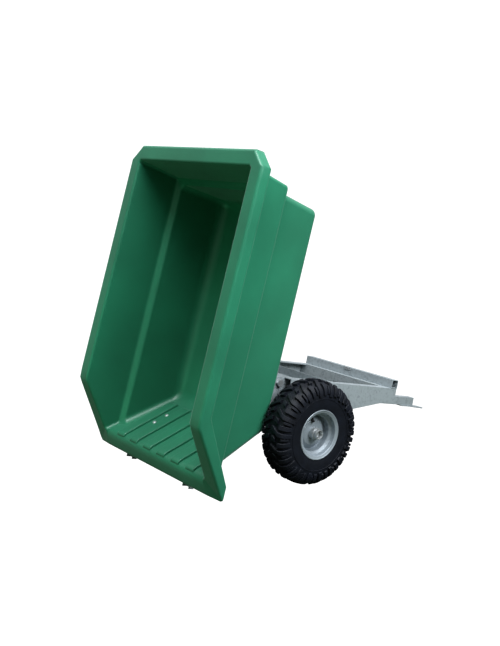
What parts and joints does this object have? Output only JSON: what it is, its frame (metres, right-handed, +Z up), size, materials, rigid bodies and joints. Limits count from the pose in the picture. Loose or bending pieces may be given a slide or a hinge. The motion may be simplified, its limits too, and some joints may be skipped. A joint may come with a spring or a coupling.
{
  "type": "tipping dump cart",
  "caption": "Two-wheeled trailer cart whose deep moulded tub tips back on a hinged galvanised chassis with a drawbar and hitch plate.",
  "frame": {"origin": "on the ground, below the middle of the overall box", "axes": "+X forward along the drawbar to the hitch, +Y to the left across the axle, +Z up; drawn standing unhitched with the nose on the ground and the tub tipped back"},
  "size_m": [1.9306, 1.008, 1.5286],
  "materials": {
    "moulded_tub": "rotationally moulded polyethylene, satin green",
    "galvanised": "hot-dip galvanised steel, matt with faint spangle",
    "bright_zinc": "bright zinc plated steel",
    "rim_silver": "silver-grey powder coat",
    "tyre": "moulded black rubber, open chevron tread",
    "rubber": "plain black rubber",
    "dark_steel": "dark grey paint"
  },
  "bodies": {
    "chassis": {"side_member_left": "galvanised", "side_member_right": "galvanised", "front_cross_member": "galvanised", "front_crossbar": "galvanised", "rest_plate": "bright_zinc", "tray_cross_member": "galvanised", "axle_beam": "galvanised", "stub_axle_left": "bright_zinc", "stub_axle_right": "bright_zinc", "hinge_cheek_left": "galvanised", "hinge_cheek_right": "galvanised", "pivot_bolt_left": "bright_zinc", "pivot_bolt_right": "bright_zinc", "pivot_nuts": "bright_zinc", "tip_stop_tube": "galvanised", "stop_buffers": "rubber", "latch_keeper": "dark_steel", "drawbar_tube": "galvanised", "drawbar_post": "galvanised", "drawbar_packer": "galvanised", "hitch_plate": "galvanised", "axle_washers": "bright_zinc", "axle_nuts": "bright_zinc"},
    "tub": {"tub_shell": "moulded_tub", "rail_left": "galvanised", "rail_right": "galvanised", "hinge_plate_left": "galvanised", "hinge_plate_right": "galvanised", "chute_bolts": "bright_zinc", "chute_nuts": "bright_zinc"},
    "latch": {"latch_shaft": "bright_zinc", "latch_hook": "dark_steel", "latch_handle": "galvanised", "latch_grip": "rubber"},
    "wheel_left": {"tyre_left": "tyre", "rim_left": "rim_silver", "hub_left": "bright_zinc", "hub_bushes_left": "dark_steel", "valve_left": "rubber"},
    "wheel_right": {"tyre_right": "tyre", "rim_right": "rim_silver", "hub_right": "bright_zinc", "hub_bushes_right": "dark_steel", "valve_right": "rubber"}
  },
  "joints": [
    {"name": "tub_tip", "type": "hinge", "parent": "chassis", "child": "tub", "pos_m": [-0.35003, 0, 0.44776], "axis": [0, 1, 0], "range_deg": [0, 86.4]},
    {"name": "wheel_left_spin", "type": "hinge", "parent": "chassis", "child": "wheel_left", "pos_m": [-0.29084, 0.421, 0.2415], "axis": [0, 1, 0], "continuous": true},
    {"name": "wheel_right_spin", "type": "hinge", "parent": "chassis", "child": "wheel_right", "pos_m": [-0.29084, -0.421, 0.2415], "axis": [0, 1, 0], "continuous": true},
    {"name": "latch_turn", "type": "hinge", "parent": "tub", "child": "latch", "pos_m": [-0.20411, 0, 1.08015], "axis": [0, 1, 0], "range_deg": [-25, 0]}
  ]
}
